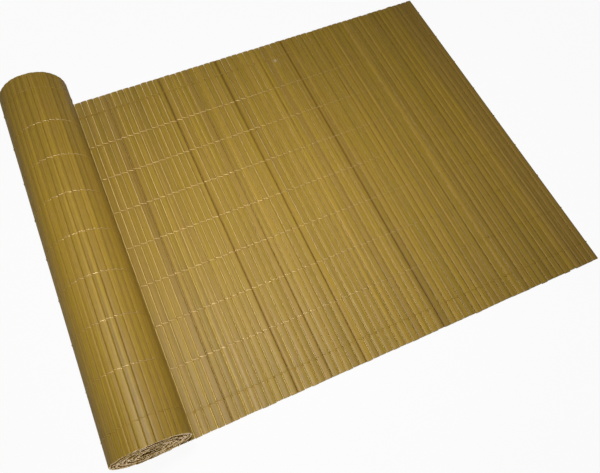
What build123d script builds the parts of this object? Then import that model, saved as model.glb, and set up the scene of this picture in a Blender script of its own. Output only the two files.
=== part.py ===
from build123d import *
from math import copysign, cos, hypot, pi, sin
import os

# Privacy screen of hollow plastic slats, bound side by side by nine lines of thread.
# One end is laid out flat and the rest is still rolled up. X runs along the screen, Y along
# the slats and Z up. The origin is on the ground, under the middle of the whole screen.

# The slat: a hollow flattened oval with a flat land above and below, cut from one extrusion.
# The oval has few facets, because the screen has hundreds of slats.
slat_length = 1000.0
slat_width = 17.3
slat_thickness = 4.5
slat_wall = 0.5
oval_facets = 12
oval_squareness = 0.55

# The laid-out stretch, from under the roll to the free end.
laid_slats = 67
laid_pitch = 18.15
laid_start = -3.5

# The roll. Its turns are pressed a little flat, and the slats close up as they bend round.
rolled_slats = 208
rolled_pitch = 17.25
roll_radius = 89.3
roll_squash = 0.02
roll_flat_depth = 1.5
turn_spacing = 6.4
rolled_land = 11.2
groove_web = 1.2

# The binding lines, from the lower edge of the screen to the upper one.
binding_lines = 9
binding_margin = 55.0
thread_width = 1.2
thread_thickness = 0.8
roll_thread_start = 0.35
roll_thread_end = 1.86 * pi

half_thickness = slat_thickness / 2
roll_axis_height = half_thickness - roll_flat_depth + (1 - roll_squash) * roll_radius
binding_spacing = (slat_length - 2 * binding_margin) / (binding_lines - 1)


def oval_point(angle):
    """A point of the flattened oval, so squared that its land and its edges are straight."""
    reach = abs(cos(angle)) ** oval_squareness
    rise = abs(sin(angle)) ** oval_squareness
    widest = cos(pi / oval_facets) ** oval_squareness
    return (
        copysign(slat_width / 2 * reach / widest, cos(angle)),
        copysign(half_thickness * rise / widest, sin(angle)),
    )


def slat_profile():
    """The hollow oval in the XZ plane, centred on the slat's own axis, with an even wall."""
    angles = [2 * pi * (index + 0.5) / oval_facets for index in range(oval_facets)]
    outside = make_face(Polyline([oval_point(angle) for angle in angles], close=True))
    hollow = offset(outside, amount=-slat_wall, kind=Kind.INTERSECTION)
    return Plane.XZ * (outside - hollow)


def radius_at(angle):
    """The spiral's radius, one turn spacing smaller for each whole turn."""
    return roll_radius - turn_spacing * angle / (2 * pi)


def roll_point(angle):
    """The middle of the screen's thickness on the spiral, angle 0 at the bottom, then up the left."""
    x = -(1 + roll_squash) * radius_at(angle) * sin(angle)
    z = roll_axis_height - (1 - roll_squash) * radius_at(angle) * cos(angle)
    pressed_height = half_thickness + roll_radius - radius_at(angle)
    return x, max(z, pressed_height)


def roll_angles():
    """The spiral angle of each line where one rolled slat meets the next."""
    angles = [-laid_start / ((1 + roll_squash) * roll_radius)]
    for _ in range(rolled_slats):
        angles.append(angles[-1] + rolled_pitch / radius_at(angles[-1]))
    return angles


def beside(start, end, along, out):
    """A point beside the chord from start to end, where out is positive away from the roll's axis."""
    length = hypot(end[0] - start[0], end[1] - start[1])
    unit_x = (end[0] - start[0]) / length
    unit_z = (end[1] - start[1]) / length
    return (
        start[0] + unit_x * (length / 2 + along) - unit_z * out,
        start[1] + unit_z * (length / 2 + along) + unit_x * out,
    )


def offset_chain(joints, out):
    """The row of slats' faces at one distance out, meeting in a mitre at each joint."""
    middles = [beside(a, b, 0, out) for a, b in zip(joints, joints[1:])]
    slopes = [(b[0] - a[0], b[1] - a[1]) for a, b in zip(joints, joints[1:])]
    chain = [beside(joints[0], joints[1], -rolled_pitch / 2, out)]
    for here, there, run, next_run in zip(middles, middles[1:], slopes, slopes[1:]):
        cross = run[0] * next_run[1] - run[1] * next_run[0]
        gap_x = there[0] - here[0]
        gap_z = there[1] - here[1]
        reach = (gap_x * next_run[1] - gap_z * next_run[0]) / cross
        chain.append((here[0] + reach * run[0], here[1] + reach * run[1]))
    chain.append(beside(joints[-2], joints[-1], rolled_pitch / 2, out))
    return chain


def extruded(points, start_y, width):
    """A prism along Y over an outline given in X and Z."""
    outline = Polyline([(x, start_y, z) for x, z in points], close=True)
    return extrude(make_face(outline), amount=width, dir=(0, 1, 0))


def build_roll(joints):
    """The turns as one wall: a ridge for each slat, a groove at each joint and a smooth inner side."""
    groove_out = groove_web - half_thickness
    outer = []
    for start, end in zip(joints, joints[1:]):
        outer.append(beside(start, end, -rolled_pitch / 2, groove_out))
        outer.append(beside(start, end, -rolled_land / 2, half_thickness))
        outer.append(beside(start, end, rolled_land / 2, half_thickness))
    outer.append(beside(joints[-2], joints[-1], rolled_pitch / 2, groove_out))
    inner = offset_chain(joints, -half_thickness)
    return extruded(outer + inner[::-1], -slat_length / 2, slat_length)


def build_laid_slats():
    """The laid-out slats, each a separate hollow extrusion on the ground."""
    profile = slat_profile()
    slats = []
    for index in range(laid_slats):
        centre_x = laid_start + (index + 0.5) * laid_pitch
        placed = Pos(centre_x, -slat_length / 2, half_thickness) * profile
        slats.append(extrude(placed, amount=slat_length, dir=(0, 1, 0)))
    return slats


def build_binding(line_y, joints, angles):
    """One line of thread: a run over the laid-out slats and a run round the outside of the roll."""
    start_y = line_y - thread_width / 2
    first_x = laid_start + 0.5 * laid_pitch
    last_x = laid_start + (laid_slats - 0.5) * laid_pitch
    thread_top = slat_thickness + thread_thickness
    laid_run = extruded(
        [
            (first_x, slat_thickness),
            (last_x, slat_thickness),
            (last_x, thread_top),
            (first_x, thread_top),
        ],
        start_y,
        thread_width,
    )
    outside = [
        joint
        for joint, angle in zip(joints, angles)
        if roll_thread_start < angle < roll_thread_end
    ]
    under = offset_chain(outside, half_thickness)
    over = offset_chain(outside, half_thickness + thread_thickness)
    return [laid_run, extruded(under + over[::-1], start_y, thread_width)]


angles = roll_angles()
joints = [roll_point(angle) for angle in angles]
nodes = {"rolled_slats": [build_roll(joints)], "laid_out_slats": build_laid_slats()}
for line in range(binding_lines):
    line_y = -slat_length / 2 + binding_margin + line * binding_spacing
    nodes[f"binding_thread_{line + 1}"] = build_binding(line_y, joints, angles)

boxes = [solid.bounding_box() for solids in nodes.values() for solid in solids]
left_x = min(box.min.X for box in boxes)
right_x = max(box.max.X for box in boxes)
to_origin = Pos(-(left_x + right_x) / 2, 0, 0)

os.makedirs("parts", exist_ok=True)
for name, solids in nodes.items():
    placed = [to_origin * solid for solid in solids]
    export_step(Compound(children=placed), f"parts/{name}.step")
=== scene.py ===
"""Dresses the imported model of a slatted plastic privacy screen.

The laid-out slats, the wound slats and the nine twined binding lines are modelled here as finely
as they show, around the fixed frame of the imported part, on a plain pale floor.
"""

import math
from collections import namedtuple

import bpy
import numpy as np
from bpy.props import FloatProperty, FloatVectorProperty, IntProperty, PointerProperty
from mathutils import Matrix, Vector


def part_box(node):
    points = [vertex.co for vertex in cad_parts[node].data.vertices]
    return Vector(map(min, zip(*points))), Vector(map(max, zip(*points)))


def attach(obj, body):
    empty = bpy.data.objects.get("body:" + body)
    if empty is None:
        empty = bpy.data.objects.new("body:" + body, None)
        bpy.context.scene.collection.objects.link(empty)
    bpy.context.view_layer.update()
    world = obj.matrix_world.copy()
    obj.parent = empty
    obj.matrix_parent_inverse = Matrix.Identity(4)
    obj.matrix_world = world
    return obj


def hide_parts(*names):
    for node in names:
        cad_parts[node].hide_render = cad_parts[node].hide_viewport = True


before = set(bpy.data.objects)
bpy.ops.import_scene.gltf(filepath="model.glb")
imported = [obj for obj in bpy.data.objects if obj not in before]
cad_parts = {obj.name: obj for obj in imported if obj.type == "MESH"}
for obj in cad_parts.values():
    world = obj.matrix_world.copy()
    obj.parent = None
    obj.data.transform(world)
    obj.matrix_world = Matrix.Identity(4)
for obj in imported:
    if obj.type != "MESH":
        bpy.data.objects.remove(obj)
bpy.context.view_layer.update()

bl_info = {
    "name": "Slatted Privacy Screen",
    "version": (1, 0, 0),
    "blender": (4, 5, 0),
    "location": "View3D > Sidebar > Screen",
    "description": "Makes the slats, roll and binding threads of a partly unrolled privacy screen",
    "category": "Add Mesh",
}

BODY = "root"
LAID_LOW, LAID_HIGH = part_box("laid_out_slats")
THREAD_NODES = sorted(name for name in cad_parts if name.startswith("binding_thread_"))
SLAT_LENGTH = LAID_HIGH.y - LAID_LOW.y
SLAT_HEIGHT = LAID_HIGH.z - LAID_LOW.z
PLASTIC = "satin_slat_plastic"
WHITE = (1.0, 1.0, 1.0)

# Joints where two laid-out slats are pressed together: metres from the roll's axis, and how dark the
# painted shade there is.
PRESSED_JOINTS = (
    (1.065, 0.35), (0.743, 0.75), (0.525, 0.6), (0.43, 0.35), (0.337, 0.65), (0.176, 0.5))

SlatPlace = namedtuple("SlatPlace", "x z along_x along_z slide yaw lift")
SlatTrait = namedtuple("SlatTrait", "tilt tone shade left_dim right_dim")


class ScreenSizes(bpy.types.PropertyGroup):
    """Sizes of the slats, the roll and the thread"""

    slat_width: FloatProperty(
        name="Slat width", description="Across one slat", default=0.0173, unit="LENGTH", precision=4)
    slat_wall: FloatProperty(
        name="Slat wall", description="Wall of the hollow slat", default=0.0005,
        unit="LENGTH", precision=5)
    edge_squareness: FloatProperty(
        name="Edge squareness", description="How square a slat's edges are; 1 makes it an ellipse",
        default=0.62, min=0.3, max=1.0)
    oval_facets: IntProperty(
        name="Oval facets", description="Faces round one slat", default=24, min=12, max=64)
    laid_slats: IntProperty(
        name="Laid-out slats", description="Slats in the flat stretch", default=67, min=2)
    laid_start: FloatProperty(
        name="Laid-out start", description="Where the flat stretch starts, from under the roll's axis",
        default=-0.0035, unit="LENGTH", precision=4)
    rolled_slats: IntProperty(
        name="Rolled slats", description="Slats wound into the roll", default=208, min=2)
    rolled_pitch: FloatProperty(
        name="Rolled pitch", description="From one wound slat to the next", default=0.01725,
        unit="LENGTH", precision=5)
    roll_radius: FloatProperty(
        name="Roll radius", description="Spiral radius where the flat stretch ends",
        default=0.0893, unit="LENGTH", precision=4)
    roll_squash: FloatProperty(
        name="Roll squash", description="How much wider than high the roll is",
        default=0.02, min=0.0, max=0.2)
    roll_flat_depth: FloatProperty(
        name="Roll flat", description="Depth of the flat spot under the roll", default=0.0015,
        unit="LENGTH", precision=4)
    turn_spacing: FloatProperty(
        name="Turn spacing", description="From one turn of the roll to the next", default=0.0064,
        unit="LENGTH", precision=4)
    thread_radius: FloatProperty(
        name="Thread radius", description="Half the thickness of one thread", default=0.00085,
        unit="LENGTH", precision=5)
    thread_slant: FloatProperty(
        name="Thread slant", description="How far a thread runs along the slat as it crosses it",
        default=0.0042, unit="LENGTH", precision=4)
    seed: IntProperty(
        name="Seed", description="Chooses the small differences between the slats", default=11)


class ScreenColours(bpy.types.PropertyGroup):
    """Colours of the plastic, the thread and the floor"""

    olive: FloatVectorProperty(
        name="Olive slat", description="The greener plastic", subtype="COLOR", size=3,
        min=0.0, max=1.0, default=(0.405, 0.258, 0.022))
    tan: FloatVectorProperty(
        name="Tan slat", description="The pinker plastic", subtype="COLOR", size=3,
        min=0.0, max=1.0, default=(0.408, 0.25, 0.04))
    streak: FloatVectorProperty(
        name="Streak", description="Fine lengthwise streaks", subtype="COLOR", size=3,
        min=0.0, max=1.0, default=(0.22, 0.125, 0.008))
    # Painted shade: the dark brown that slat edges at the joints and in the roll's grooves are mixed
    # towards.
    groove_shade: FloatVectorProperty(
        name="Dirt", description="Brown dirt at the joints", subtype="COLOR", size=3,
        min=0.0, max=1.0, default=(0.19, 0.098, 0.006))
    cut_end: FloatVectorProperty(
        name="Cut end", description="Paler plastic at the cut ends", subtype="COLOR", size=3,
        min=0.0, max=1.0, default=(0.68, 0.55, 0.4))
    # Painted sheen: this pale straw is the thread where its sheen is painted; it fades to the border
    # thread's colour.
    thread: FloatVectorProperty(
        name="Thread", description="Straw-coloured thread", subtype="COLOR", size=3,
        min=0.0, max=1.0, default=(0.8, 0.6, 0.27))
    border_thread: FloatVectorProperty(
        name="Border thread", description="Darker thread near the ends of the slats",
        subtype="COLOR", size=3, min=0.0, max=1.0, default=(0.42, 0.265, 0.032))
    floor: FloatVectorProperty(
        name="Floor", description="Plain pale floor", subtype="COLOR", size=3,
        min=0.0, max=1.0, default=(0.7, 0.7, 0.7))
    # Painted light: the amber of the floor seen between the slats.
    shaded_floor: FloatVectorProperty(
        name="Floor between slats", description="Floor under the screen, in its amber half light",
        subtype="COLOR", size=3, min=0.0, max=1.0, default=(1.0, 0.8, 0.37))


class Signal:
    """A shader value that can be used in ordinary arithmetic, each operator adding a Math node."""

    def __init__(self, graph, socket):
        self.graph = graph
        self.socket = socket

    def math(self, operation, first, second):
        node = self.graph.add("ShaderNodeMath", {"operation": operation}, {0: first, 1: second})
        return Signal(self.graph, node.outputs[0])

    def __add__(self, other):
        return self.math("ADD", self, other)

    def __radd__(self, other):
        return self.math("ADD", other, self)

    def __sub__(self, other):
        return self.math("SUBTRACT", self, other)

    def __rsub__(self, other):
        return self.math("SUBTRACT", other, self)

    def __mul__(self, other):
        return self.math("MULTIPLY", self, other)

    def __rmul__(self, other):
        return self.math("MULTIPLY", other, self)

    def larger(self, other):
        return self.math("MAXIMUM", self, other)

    def smaller(self, other):
        return self.math("MINIMUM", self, other)


class Graph:
    """The node tree of a material or the world, filled by one method for every kind of node."""

    def __init__(self, owner):
        owner.use_nodes = True
        self.owner = owner
        self.tree = owner.node_tree
        self.tree.nodes.clear()

    def add(self, kind, settings=None, inputs=None):
        node = self.tree.nodes.new(kind)
        for name, value in (settings or {}).items():
            if name == "stops":
                fill_ramp(node.color_ramp, value)
            else:
                setattr(node, name, value)
        for name, value in (inputs or {}).items():
            if isinstance(value, Signal):
                value = value.socket
            if isinstance(value, bpy.types.NodeSocket):
                self.tree.links.new(value, node.inputs[name])
            else:
                node.inputs[name].default_value = value
        return node

    def signal(self, kind, settings=None, inputs=None, output=0):
        return Signal(self, self.add(kind, settings, inputs).outputs[output])

    def attribute(self, name, output):
        return self.signal("ShaderNodeAttribute", {"attribute_name": name}, output=output)

    def noise(self, vector, scale, detail=2.0, roughness=0.5):
        settings = {"noise_dimensions": "3D"}
        inputs = {"Vector": vector, "Scale": scale, "Detail": detail, "Roughness": roughness}
        return self.signal("ShaderNodeTexNoise", settings, inputs)

    def stretched(self, vector, factors):
        return self.signal("ShaderNodeVectorMath", {"operation": "MULTIPLY"}, {0: vector, 1: factors})

    def grain(self, place, density, detail=2.0, roughness=0.5):
        """Noise over a place, with its own density in each direction."""
        return self.noise(self.stretched(place, density), 1.0, detail, roughness)

    def ramp(self, value, stops):
        return self.signal("ShaderNodeValToRGB", {"stops": stops}, {"Fac": value})

    def mix(self, factor, first, second):
        settings = {"data_type": "RGBA"}
        return self.signal("ShaderNodeMix", settings, {0: factor, 6: first, 7: second}, output=2)

    def scaled(self, colour, factor):
        inputs = {0: colour if isinstance(colour, Signal) else tuple(colour)[:3], "Scale": factor}
        return self.signal("ShaderNodeVectorMath", {"operation": "SCALE"}, inputs)

    def finish(self, shader, output="ShaderNodeOutputMaterial"):
        self.add(output, inputs={"Surface": shader})
        return self.owner


def fill_ramp(ramp, stops):
    """Sets a colour ramp's stops from pairs of place and grey level."""
    while len(ramp.elements) < len(stops):
        ramp.elements.new(1.0)
    for element, (place, level) in zip(ramp.elements, stops):
        element.position = place
        element.color = (level, level, level, 1.0)


def opaque(colour):
    return (colour[0], colour[1], colour[2], 1.0)


def slat_plastic(colours):
    """Satin bamboo-coloured plastic with streaks, mottling, painted shade at the joints and slat
    edges, a painted highlight on one edge of each laid-out slat, and paler cut ends.
    """
    graph = Graph(bpy.data.materials.new(PLASTIC))
    place = graph.attribute("slat_place", "Vector")
    tone = graph.attribute("slat_tone", "Fac")
    shade = graph.attribute("slat_shade", "Fac")
    cut = graph.attribute("slat_cut", "Fac")
    groove = graph.attribute("slat_groove", "Fac")
    fine = graph.grain(place, (900.0, 9.0, 7.3), detail=3.0)
    broad = graph.grain(place, (120.0, 2.2, 3.1))
    patches = graph.grain(place, (55.0, 16.0, 5.7), detail=3.0, roughness=0.6)
    combed = graph.grain(place, (300.0, 1.1, 6.1), detail=1.0, roughness=0.6)
    mottle = graph.grain(place, (230.0, 60.0, 4.1), detail=3.0, roughness=0.7)
    worn = scuff_mark(graph, place)
    pink = graph.ramp(patches + tone * 0.15, [(0.35, 0.0), (0.8, 1.0)])
    base = graph.mix(pink, opaque(colours.olive), opaque(colours.tan))
    streaks = graph.ramp(fine * 0.55 + broad * 0.45, [(0.42, 0.0), (0.68, 1.0)])
    base = graph.mix(streaks * 0.34, base, opaque(colours.streak))
    base = graph.mix(cut * 0.8 + worn * 0.9, base, opaque(colours.cut_end))
    # Painted shade: where the groove value is positive, the slat's edges are mixed towards the dark
    # brown.
    base = graph.mix(groove.larger(0.0), base, opaque(colours.groove_shade))
    uneven = 0.3 + 0.42 * mottle + 0.96 * combed
    # Painted highlight: where the groove value is negative, the slat's edge is made brighter.
    base = graph.scaled(base, shade * (1.0 - groove.smaller(0.0)) * uneven)
    bump = graph.add("ShaderNodeBump", inputs={
        "Strength": 0.7, "Distance": 0.00025, "Height": fine * 0.2 + mottle * 0.3 + combed * 0.5})
    shader = graph.add("ShaderNodeBsdfPrincipled", inputs={
        "Base Color": base, "Roughness": 0.42 + 0.2 * broad, "Specular IOR Level": 0.44,
        "Normal": bump.outputs[0]})
    return graph.finish(shader.outputs[0])


def scuff_mark(graph, place):
    """A small pale scuff on one slat: 1 at its middle, fading to 0 within 9 mm."""
    middle = (0.0098, 0.4316, 28.0)
    density = (150.0, 120.0, 10.0)
    scaled_middle = [scale * part for scale, part in zip(density, middle)]
    away = graph.signal("ShaderNodeVectorMath", {"operation": "DISTANCE"}, {
        0: graph.stretched(place, density), 1: scaled_middle}, output="Value")
    return (1.0 - away).larger(0.0)


def thread_yarn(name, colour, sheenless_colour, shine):
    """Twisted yarn with a painted sheen: pale and shiny where the sheen is painted, duller and darker
    where it fades; with wound ridges and a soft fibre grain.
    """
    graph = Graph(bpy.data.materials.new(name))
    place = graph.attribute("thread_place", "Vector")
    sheen_fade = graph.attribute("thread_wear", "Fac")
    twist = graph.signal("ShaderNodeTexWave", {"wave_type": "BANDS", "bands_direction": "DIAGONAL"},
                         {"Vector": place, "Scale": 2.4, "Distortion": 0.6, "Detail": 1.0}, output=1)
    fibre = graph.grain(place, (6.0, 2.0, 1.0), detail=3.0)
    shade = 0.72 + 0.2 * twist + 0.18 * fibre
    # Painted sheen: the colour goes from pale straw to the sheenless colour as the sheen fades, and
    # the metallic shine fades with it.
    base = graph.scaled(graph.mix(sheen_fade, opaque(colour), opaque(sheenless_colour)), shade)
    bump = graph.add("ShaderNodeBump", inputs={
        "Strength": 0.6, "Distance": 0.0002, "Height": twist * 0.7 + fibre * 0.3})
    shader = graph.add("ShaderNodeBsdfPrincipled", inputs={
        "Base Color": base, "Metallic": shine * (1.0 - sheen_fade), "Roughness": 0.35 + 0.1 * fibre,
        "Normal": bump.outputs[0]})
    return graph.finish(shader.outputs[0])


def backdrop_share(graph):
    """How white a ray sees the backdrop: fully from the camera, a little in a reflection."""
    reflected = 0.08
    path = graph.add("ShaderNodeLightPath")
    camera, glossy, transmission = [
        Signal(graph, path.outputs[f"Is {kind} Ray"]) for kind in ("Camera", "Glossy", "Transmission")]
    return camera.larger(glossy * reflected).larger(transmission)


def floor_paint(name, colour, glow_colour, brightness):
    """Pale matt floor that the camera sees brighter than its paint, and that keeps a shadow."""
    graph = Graph(bpy.data.materials.new(name))
    grain = graph.noise(graph.add("ShaderNodeTexCoord").outputs["Object"], 60.0)
    matt = graph.add("ShaderNodeBsdfPrincipled", inputs={
        "Base Color": opaque(colour), "Roughness": 0.75 + 0.1 * grain, "Specular IOR Level": 0.2})
    glow = graph.add("ShaderNodeEmission", inputs={"Color": opaque(glow_colour), "Strength": 1.0})
    both = graph.add("ShaderNodeMixShader", inputs={
        0: backdrop_share(graph) * brightness, 1: matt.outputs[0], 2: glow.outputs[0]})
    return graph.finish(both.outputs[0])


def roll_axis_x(sizes):
    """The roll's axis stands over the end of the flat stretch, which starts just left of it."""
    pitch = (LAID_HIGH.x - LAID_LOW.x - sizes.slat_width) / (sizes.laid_slats - 1)
    return LAID_LOW.x + (sizes.slat_width - pitch) / 2 - sizes.laid_start


def radius_at(sizes, angle):
    return sizes.roll_radius - sizes.turn_spacing * angle / (2 * math.pi)


def roll_point(sizes, angle):
    """The middle of the screen's thickness at an angle of the spiral: 0 below, then up the left."""
    half = SLAT_HEIGHT / 2
    radius = radius_at(sizes, angle)
    axis_z = half - sizes.roll_flat_depth + (1 - sizes.roll_squash) * sizes.roll_radius
    x = roll_axis_x(sizes) - (1 + sizes.roll_squash) * radius * math.sin(angle)
    z = axis_z - (1 - sizes.roll_squash) * radius * math.cos(angle)
    return x, max(z, half + sizes.roll_radius - radius)


def laid_places(sizes, chance):
    """Places of the laid-out slats, from the free end towards the roll, with uneven gaps."""
    unevenness = 0.15
    slide_spread, yaw_spread = 0.0005, 0.0001
    clearance, most_lift = 0.0002, 0.0002
    first = LAID_HIGH.x - sizes.slat_width / 2
    last = LAID_LOW.x + sizes.slat_width / 2
    pitch = (first - last) / (sizes.laid_slats - 1)
    gap = pitch - sizes.slat_width
    gaps = gap * (1 + unevenness * chance.uniform(-1, 1, sizes.laid_slats - 1))
    for distance, dim in PRESSED_JOINTS:
        index = round((first - roll_axis_x(sizes) - distance) / pitch - 0.5)
        gaps[index] = (1 - dim) * gap
    gaps *= gap * (sizes.laid_slats - 1) / gaps.sum()
    centres = first - np.concatenate(([0.0], np.cumsum(gaps + sizes.slat_width)))
    places = []
    for x in centres:
        slide, yaw = chance.normal(0, slide_spread), chance.normal(0, yaw_spread)
        lift = clearance + chance.uniform(0.0, most_lift)
        places.append(SlatPlace(x, SLAT_HEIGHT / 2, -1.0, 0.0, slide, yaw, lift))
    return places


def rolled_places(sizes, chance):
    """Places of the wound slats, walked along the spiral from the flat stretch inwards."""
    telescoping, telescope_rate = 0.0016, 0.7
    slide_spread, most_lift = 0.0006, 0.0004
    angle = -sizes.laid_start / ((1 + sizes.roll_squash) * sizes.roll_radius)
    start = roll_point(sizes, angle)
    places = []
    for _ in range(sizes.rolled_slats):
        angle += sizes.rolled_pitch / radius_at(sizes, angle)
        end = roll_point(sizes, angle)
        length = math.hypot(end[0] - start[0], end[1] - start[1])
        slide = telescoping * math.sin(telescope_rate * angle) + chance.normal(0, slide_spread)
        places.append(SlatPlace(
            (start[0] + end[0]) / 2, (start[1] + end[1]) / 2,
            (end[0] - start[0]) / length, (end[1] - start[1]) / length,
            slide, 0.0, chance.uniform(0.0, most_lift)))
        start = end
    return places


def slat_traits(count, chance, tilt, level, dims):
    """Small differences in tilt, tone and shade. An edge gets painted shade, or a painted highlight if
    negative.
    """
    shade_spread = 0.03
    return [
        SlatTrait(chance.normal(0, tilt), chance.uniform(0, 1),
                  level + chance.normal(0, shade_spread), *dims)
        for _ in range(count)
    ]


def browned(sizes, places, traits):
    """Gives a few of the laid-out slats a browner, darker plastic that stands out."""
    distances = (0.167, 0.432, 0.685, 1.149, 1.167, 1.185, 1.203)
    brown_tone, brown_shade = 2.6, 0.92
    offsets = np.array([place.x for place in places]) - roll_axis_x(sizes)
    for distance in distances:
        index = int(np.argmin(np.abs(offsets - distance)))
        traits[index] = traits[index]._replace(tone=brown_tone, shade=brown_shade)
    return traits


def closed_up(sizes, places, traits):
    """Darkens the few joints where two laid-out slats are pressed together, with painted shade."""
    pitch = abs(places[1].x - places[0].x)
    for distance, dim in PRESSED_JOINTS:
        middle = roll_axis_x(sizes) + distance
        for index, place in enumerate(places):
            if 0 < place.x - middle < pitch:
                traits[index] = traits[index]._replace(right_dim=dim)
            if 0 < middle - place.x < pitch:
                traits[index] = traits[index]._replace(left_dim=dim)
    return traits


def oval(sizes, inset):
    """Points round the flattened oval, across and up, inset by part or all of the wall."""
    angles = 2 * np.pi * (np.arange(sizes.oval_facets) + 0.5) / sizes.oval_facets
    half_width = sizes.slat_width / 2 - inset
    half_height = SLAT_HEIGHT / 2 - inset
    widest = math.cos(math.pi / sizes.oval_facets)
    across = np.cos(angles) / widest
    up = np.sign(np.sin(angles)) * (np.abs(np.sin(angles)) / widest) ** sizes.edge_squareness
    return np.stack([half_width * across, half_height * up], axis=1)


def oval_height(sizes, across):
    """How high the slat's face is at a place across it, as shares of half its height and width."""
    return max(0.0, 1 - min(1.0, abs(across)) ** 2) ** (sizes.edge_squareness / 2)


def slat_ring(place, tilt, outline, y):
    """One ring of a slat's outline in the row frame. Up is towards the roll's axis."""
    turned_x = outline[:, 0] * math.cos(tilt) - outline[:, 1] * math.sin(tilt)
    turned_z = outline[:, 0] * math.sin(tilt) + outline[:, 1] * math.cos(tilt) + place.lift
    x = place.x + place.yaw * y + turned_x * place.along_x + turned_z * place.along_z
    z = place.z + turned_x * place.along_z - turned_z * place.along_x
    return np.stack([x, np.full(len(outline), y + place.slide), z], axis=1)


def ring_faces(first, second, count):
    """Quads between two rings of points."""
    steps = np.arange(count)
    following = (steps + 1) % count
    return np.stack([first + steps, second + steps, second + following, first + following], axis=1)


def slat_rings(sizes, place, trait, stretches, chance):
    """A slat's outer rings from end to end, then the inner ring at each end."""
    wave_height = 0.00007
    rim = 0.0015
    outer, inner = oval(sizes, 0.0), oval(sizes, sizes.slat_wall)
    levels = np.linspace(rim - SLAT_LENGTH / 2, SLAT_LENGTH / 2 - rim, stretches - 1)
    levels = np.concatenate(([-SLAT_LENGTH / 2], levels, [SLAT_LENGTH / 2]))
    sway = chance.normal(0, 1, stretches + 1) * wave_height
    outlines = [(outer, step) for step in range(stretches + 1)] + [(inner, 0), (inner, -1)]
    return np.concatenate([
        slat_ring(place._replace(x=place.x + sway[step]), trait.tilt, outline, levels[step])
        for outline, step in outlines
    ])


def slat_faces(count, stretches):
    """The quads of one slat's rings: the outside, then the bore, then the two cut ends."""
    far_outer = stretches * count
    near_inner = far_outer + count
    far_inner = near_inner + count
    faces = [ring_faces(step * count, (step + 1) * count, count) for step in range(stretches)]
    faces.append(ring_faces(far_inner, near_inner, count))
    faces.append(ring_faces(near_inner, 0, count))
    faces.append(ring_faces(far_outer, far_inner, count))
    return np.concatenate(faces)


def edge_dimming(sizes, outline, trait):
    """How much painted shade each point of a slat's outline has, nothing in the middle and most at the
    edges; a negative value is a painted highlight.
    """
    edge_start, edge_width = 0.7, 0.3
    share = np.abs(outline[:, 0]) / (sizes.slat_width / 2)
    dims = np.where(outline[:, 0] > 0, trait.right_dim, trait.left_dim)
    return dims * np.clip((share - edge_start + edge_width * np.abs(dims)) / edge_width, 0, 1)


def hollow_slats(name, sizes, places, traits, stretches, material, chance, first_index):
    """Every slat of a group as a closed hollow tube, in one mesh, with its tone as attributes."""
    outer = oval(sizes, 0.0)
    outer_total = (stretches + 1) * len(outer)
    inner_total = 2 * len(outer)
    slat_total = outer_total + inner_total
    around = np.cumsum(np.linalg.norm(outer - np.roll(outer, 1, axis=0), axis=1))
    points, where, grooves = [], [], []
    for index, (place, trait) in enumerate(zip(places, traits)):
        slat_points = slat_rings(sizes, place, trait, stretches, chance)
        points.append(slat_points)
        where.append(np.stack([
            np.tile(around, stretches + 3), slat_points[:, 1],
            np.full(slat_total, first_index + index, float)], axis=1))
        grooves.append(np.tile(edge_dimming(sizes, outer, trait), stretches + 1))
        grooves.append(np.zeros(inner_total))
    first_points = slat_total * np.arange(len(places))
    faces = slat_faces(len(outer), stretches) + first_points[:, None, None]
    smooth = np.repeat([True, False], [outer_total, inner_total])
    cut = np.repeat([0.0, 1.0], [outer_total, inner_total])
    return built_mesh(
        name, np.concatenate(points), faces.reshape(-1, 4), np.tile(smooth, len(places)), material,
        {"slat_place": np.concatenate(where),
         "slat_tone": np.repeat([trait.tone for trait in traits], slat_total),
         "slat_shade": np.repeat([trait.shade for trait in traits], slat_total),
         "slat_cut": np.tile(cut, len(places)),
         "slat_groove": np.concatenate(grooves)})


def built_mesh(name, points, faces, smooth, material, attributes):
    """A mesh object from arrays of points and quads, with its point attributes and material."""
    mesh = bpy.data.meshes.new(name)
    mesh.from_pydata(points.tolist(), [], faces.tolist())
    mesh.polygons.foreach_set("use_smooth", smooth)
    for key, values in attributes.items():
        if values.ndim == 2:
            stored = mesh.attributes.new(key, "FLOAT_VECTOR", "POINT")
            stored.data.foreach_set("vector", values.astype(np.float32).ravel())
        else:
            stored = mesh.attributes.new(key, "FLOAT", "POINT")
            stored.data.foreach_set("value", values.astype(np.float32))
    mesh.materials.append(material)
    mesh.update()
    piece = bpy.data.objects.new(name, mesh)
    bpy.context.scene.collection.objects.link(piece)
    return piece


def strand_path(sizes, places, line_y, phase):
    """One thread of a pair: over one slat, down through the gap, under the next, and so on."""
    crossings = (-1.0, -0.93, -0.8, -0.5, 0.0, 0.5, 0.8, 0.93)
    half_height = SLAT_HEIGHT / 2
    standing_share = 0.4
    lift = standing_share * sizes.thread_radius
    path = []
    for index, place in enumerate(places):
        side = 1 if (index + phase) % 2 == 0 else -1
        following = places[min(index + 1, len(places) - 1)]
        half_step = math.hypot(following.x - place.x, following.z - place.z) / 2
        half_step = half_step or sizes.slat_width / 2
        for crossing in crossings:
            across = crossing * half_step
            share = across / (sizes.slat_width / 2)
            up = side * (half_height * oval_height(sizes, share) + lift)
            if crossing == -1.0:
                up = 0.0
            slant = crossing if side > 0 else -crossing * abs(crossing)
            y = line_y + slant * sizes.thread_slant / 2
            x = place.x + across * place.along_x + (up + place.lift) * place.along_z
            z = place.z + across * place.along_z - (up + place.lift) * place.along_x
            path.append((x, y, z))
    return np.array(path)


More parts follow.
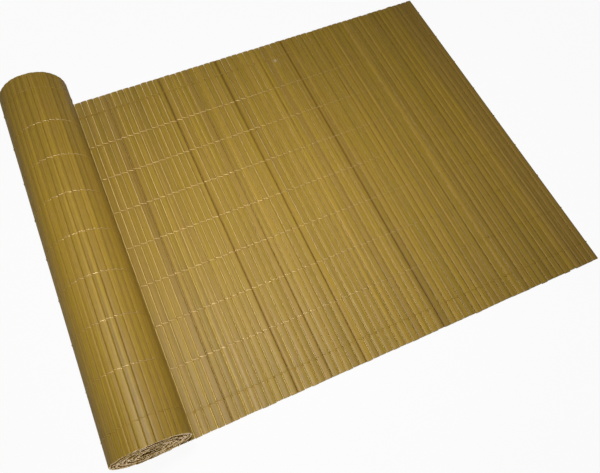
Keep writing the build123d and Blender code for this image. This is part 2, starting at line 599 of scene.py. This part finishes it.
def tube(path, radii, sides):
    """Points and quads of a tube along a path, with each point's place round and along it."""
    millimetres = 1000
    heading = np.gradient(path, axis=0)
    heading /= np.linalg.norm(heading, axis=1)[:, None]
    side = np.cross(heading, (0.0, 1.0, 0.0))
    side /= np.linalg.norm(side, axis=1)[:, None]
    upward = np.cross(side, heading)
    angles = 2 * np.pi * np.arange(sides) / sides
    spread = radii[:, None, None]
    rings = (path[:, None, :]
             + spread * np.cos(angles)[None, :, None] * side[:, None, :]
             + spread * np.sin(angles)[None, :, None] * upward[:, None, :])
    distance = np.concatenate(([0.0], np.cumsum(np.linalg.norm(np.diff(path, axis=0), axis=1))))
    where = np.stack([
        np.tile(np.arange(sides) / sides, len(path)), np.repeat(distance * millimetres, sides),
        np.zeros(len(path) * sides)], axis=1)
    faces = [ring_faces(step * sides, (step + 1) * sides, sides) for step in range(len(path) - 1)]
    return rings.reshape(-1, 3), np.concatenate(faces), where


def knotted_radii(sizes, count):
    """The thread's radius along it: a knot at its first end, and both ends drawn to a point."""
    knot_middle, knot_width, tip = 1.5, 1.2, 0.05
    knot = 1 + np.exp(-((np.arange(count) - knot_middle) / knot_width) ** 2)
    knot[[0, -1]] = tip
    return sizes.thread_radius * knot


def thread_wear(sizes, points):
    """How much of the thread's painted sheen has faded: more towards the free end, and down both
    flanks of the roll.
    """
    pale_length, fading_length = 0.4, 0.6
    pale_middle, pale_reach, fading_reach = 0.2, 0.45, 0.45
    distance = points[:, 0] - roll_axis_x(sizes)
    turn = np.arctan2(distance, points[:, 2] - sizes.roll_radius)
    on_roll = points[:, 2] > 2 * SLAT_HEIGHT
    sheen_fade = np.where(on_roll, (np.abs(turn - pale_middle) - pale_reach) / fading_reach,
                    (distance - pale_length) / fading_length)
    return np.clip(sheen_fade, 0, 1)


def twined_line(name, sizes, places, line_y, material):
    """A binding line: two threads that change places in every gap."""
    sides = 6
    points, faces, where = [], [], []
    base = 0
    for phase in (0, 1):
        path = strand_path(sizes, places, line_y, phase)
        radii = knotted_radii(sizes, len(path))
        strand_points, strand_faces, strand_where = tube(path, radii, sides)
        strand_points[:, 2] = np.maximum(strand_points[:, 2], 0.0)
        points.append(strand_points)
        faces.append(strand_faces + base)
        where.append(strand_where)
        base += len(strand_points)
    points, faces = np.concatenate(points), np.concatenate(faces)
    return built_mesh(name, points, faces, np.ones(len(faces), bool), material, {
        "thread_place": np.concatenate(where), "thread_wear": thread_wear(sizes, points)})


def loose_end(sizes, material):
    """The loose end of thread that hangs down the roll's near end."""
    top_height, drop = 0.078, 0.064
    right_of_axis, drift, bend = 0.0573, 0.0075, 0.001
    clearance, lean = 0.0012, 0.002
    steps = np.linspace(0, 1, 13)
    path = np.stack([
        roll_axis_x(sizes) + right_of_axis - drift * steps + bend * np.sin(5 * steps),
        LAID_LOW.y - clearance - lean * steps,
        top_height - drop * steps], axis=1)
    points, faces, where = tube(path, knotted_radii(sizes, len(path)), 8)
    return built_mesh("loose_thread_end", points, faces, np.ones(len(faces), bool), material,
                      {"thread_place": where})


def settled(piece, slot, *nodes):
    """The piece rides on the one body, and stands for the CAD nodes it was modelled over."""
    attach(piece, BODY)
    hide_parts(*nodes)


def shared_plastic(colours):
    """The one plastic of both groups of slats, made by whichever group comes first."""
    return bpy.data.materials.get(PLASTIC) or slat_plastic(colours)


class LayOutSlats(bpy.types.Operator):
    """Make the hollow slats of the laid-out stretch"""

    bl_idname = "slat_screen.lay_out_slats"
    bl_label = "Lay out slats"

    def execute(self, context):
        sizes, colours = context.scene.screen_sizes, context.scene.screen_colours
        chance = np.random.RandomState(sizes.seed)
        places = laid_places(sizes, chance)
        # Painted highlight on each laid-out slat's left edge, and painted shade on its right edge.
        traits = slat_traits(len(places), chance, tilt=0.02, level=1.0, dims=(-0.18, 0.12))
        traits = closed_up(sizes, places, browned(sizes, places, traits))
        piece = hollow_slats(
            "laid_out_hollow_slats", sizes, places, traits, stretches=10,
            material=shared_plastic(colours), chance=chance, first_index=0)
        settled(piece, "slat_plastic", "laid_out_slats")
        return {"FINISHED"}


class WindRoll(bpy.types.Operator):
    """Make the hollow slats that are wound into the roll"""

    bl_idname = "slat_screen.wind_roll"
    bl_label = "Wind the roll"

    def execute(self, context):
        sizes, colours = context.scene.screen_sizes, context.scene.screen_colours
        chance = np.random.RandomState(sizes.seed + 1)
        places = rolled_places(sizes, chance)
        # Painted shade on both edges of each wound slat, in the grooves between them.
        traits = slat_traits(len(places), chance, tilt=0.015, level=1.03, dims=(0.24, 0.24))
        piece = hollow_slats(
            "rolled_hollow_slats", sizes, places, traits, stretches=5,
            material=shared_plastic(colours), chance=chance, first_index=len(places))
        settled(piece, "slat_plastic", "rolled_slats")
        return {"FINISHED"}


class BindSlats(bpy.types.Operator):
    """Make the twined threads of every binding line"""

    bl_idname = "slat_screen.bind_slats"
    bl_label = "Bind the slats"

    def execute(self, context):
        sizes, colours = context.scene.screen_sizes, context.scene.screen_colours
        outer_slats = 33
        places = laid_places(sizes, np.random.RandomState(sizes.seed))
        places += rolled_places(sizes, np.random.RandomState(sizes.seed + 1))[:outer_slats]
        # The straw yarn's painted sheen fades to the border thread's colour.
        pale = thread_yarn("straw_yarn", colours.thread, colours.border_thread, shine=0.78)
        dark = thread_yarn("olive_yarn", colours.border_thread, colours.border_thread, shine=0.0)
        for node in THREAD_NODES:
            low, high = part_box(node)
            yarn = dark if node in (THREAD_NODES[0], THREAD_NODES[-1]) else pale
            name = node.replace("binding_thread", "twined_thread")
            piece = twined_line(name, sizes, places, (low.y + high.y) / 2, yarn)
            settled(piece, "binding_thread", node)
        tail = loose_end(sizes, pale)
        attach(tail, BODY)
        return {"FINISHED"}


class SetStage(bpy.types.Operator):
    """Add the pale floor, the soft light and the camera"""

    bl_idname = "slat_screen.set_stage"
    bl_label = "Set the stage"

    def execute(self, context):
        scene = context.scene
        corner = Vector((roll_axis_x(scene.screen_sizes), LAID_LOW.y, 0.0))
        add_floor(scene.screen_colours)
        add_world(scene)
        add_lamp("key_lamp", corner + Vector((0.15, 0.25, 1.47)), corner + Vector((0.58, 0.48, 0.0)),
                 size=0.22, spread=115, power=8.25)
        add_lamp("near_lamp", corner + Vector((-0.1, -1.1, 0.15)), corner + Vector((0.0, 0.0, 0.09)),
                 size=0.3, spread=86, power=2.1)
        add_lamp("far_lamp", corner + Vector((-0.1, 2.1, 0.15)), corner + Vector((0.0, 1.0, 0.09)),
                 size=0.3, spread=86, power=1.3)
        add_camera(scene, corner)
        scene.view_settings.view_transform = "Standard"
        return {"FINISHED"}


def add_floor(colours):
    """The wide floor, and the shaded patch of it that is seen only between the slats."""
    reach = 40.0
    rim = 0.003
    wide = [(-reach, reach), (-reach, reach)]
    patch = [(LAID_LOW.x + rim, LAID_HIGH.x - rim), (LAID_LOW.y + rim, LAID_HIGH.y - rim)]
    amber = colours.shaded_floor
    white_paint = floor_paint("floor_paint", colours.floor, WHITE, brightness=0.94)
    # Painted light: the patch seen between the slats is amber and glows a little towards the camera,
    # for light that comes off the slats' sides.
    amber_paint = floor_paint("amber_floor", amber, amber, brightness=0.22)
    add_ground("floor", wide, -0.0003, white_paint)
    add_ground("floor_between_slats", patch, -0.0001, amber_paint)


def add_ground(name, spans, z, paint):
    """A flat rectangle of floor at one height."""
    (left, right), (near, far) = spans
    mesh = bpy.data.meshes.new(name)
    corners = [(left, near, z), (right, near, z), (right, far, z), (left, far, z)]
    mesh.from_pydata(corners, [], [(0, 1, 2, 3)])
    mesh.materials.append(paint)
    ground = bpy.data.objects.new(name, mesh)
    bpy.context.scene.collection.objects.link(ground)


def add_world(scene):
    """Even light from all round, and a white sky where the camera sees past the floor."""
    sky_light = 0.07
    graph = Graph(bpy.data.worlds.new("studio"))
    plain, bright = [
        graph.add("ShaderNodeBackground", inputs={"Color": opaque(WHITE), "Strength": strength})
        for strength in (sky_light, 1.0)]
    both = graph.add("ShaderNodeMixShader", inputs={
        0: backdrop_share(graph), 1: plain.outputs[0], 2: bright.outputs[0]})
    scene.world = graph.finish(both.outputs[0], "ShaderNodeOutputWorld")


def add_lamp(name, place, target, size, spread, power):
    lamp = bpy.data.lights.new(name, "AREA")
    lamp.shape = "DISK"
    lamp.size = size
    lamp.spread = math.radians(spread)
    lamp.energy = power
    holder = bpy.data.objects.new(name, lamp)
    holder.location = place
    holder.rotation_euler = (target - place).to_track_quat("-Z", "Y").to_euler()
    bpy.context.scene.collection.objects.link(holder)


def add_camera(scene, corner):
    """A camera above the roll's near end, as the photograph was taken, placed from that corner."""
    stand = Vector((0.1313, -0.2024, 1.4196))
    aim = Vector((0.4669, 0.4338, 0.0))
    bank = 0.0794
    image_width = 600.0
    focal_pixels = 598.4
    shift_pixels = (27.6, -15.8)
    sensor = 36.0
    camera = bpy.data.cameras.new("camera")
    camera.sensor_width = sensor
    camera.lens = focal_pixels / image_width * sensor
    camera.shift_x, camera.shift_y = (pixels / image_width for pixels in shift_pixels)
    camera.clip_end = 50.0
    forward = (aim - stand).normalized()
    level = forward.cross(Vector((0.0, 0.0, 1.0))).normalized()
    upright = level.cross(forward)
    right = math.cos(bank) * level + math.sin(bank) * upright
    up = math.cos(bank) * upright - math.sin(bank) * level
    holder = bpy.data.objects.new("camera", camera)
    turn = Matrix((right, up, -forward)).transposed().to_4x4()
    holder.matrix_world = Matrix.Translation(corner + stand) @ turn
    scene.collection.objects.link(holder)
    scene.camera = holder


class ScreenPanel(bpy.types.Panel):
    """Lists the screen's operators, sizes and colours"""

    bl_idname = "VIEW3D_PT_slat_screen"
    bl_label = "Privacy Screen"
    bl_space_type = "VIEW_3D"
    bl_region_type = "UI"
    bl_category = "Screen"

    def draw(self, context):
        layout = self.layout
        for operator in OPERATORS:
            layout.operator(operator.bl_idname)
        for group in (context.scene.screen_sizes, context.scene.screen_colours):
            box = layout.box()
            for name in group.bl_rna.properties.keys():
                if name not in ("rna_type", "name"):
                    box.prop(group, name)


OPERATORS = (SetStage, LayOutSlats, WindRoll, BindSlats)
CLASSES = (ScreenSizes, ScreenColours) + OPERATORS + (ScreenPanel,)


def register():
    for item in CLASSES:
        bpy.utils.register_class(item)
    bpy.types.Scene.screen_sizes = PointerProperty(type=ScreenSizes)
    bpy.types.Scene.screen_colours = PointerProperty(type=ScreenColours)


def unregister():
    del bpy.types.Scene.screen_colours
    del bpy.types.Scene.screen_sizes
    for item in reversed(CLASSES):
        bpy.utils.unregister_class(item)


def main():
    register()
    bpy.ops.slat_screen.set_stage()
    bpy.ops.slat_screen.lay_out_slats()
    bpy.ops.slat_screen.wind_roll()
    bpy.ops.slat_screen.bind_slats()


if __name__ == "__main__":
    main()
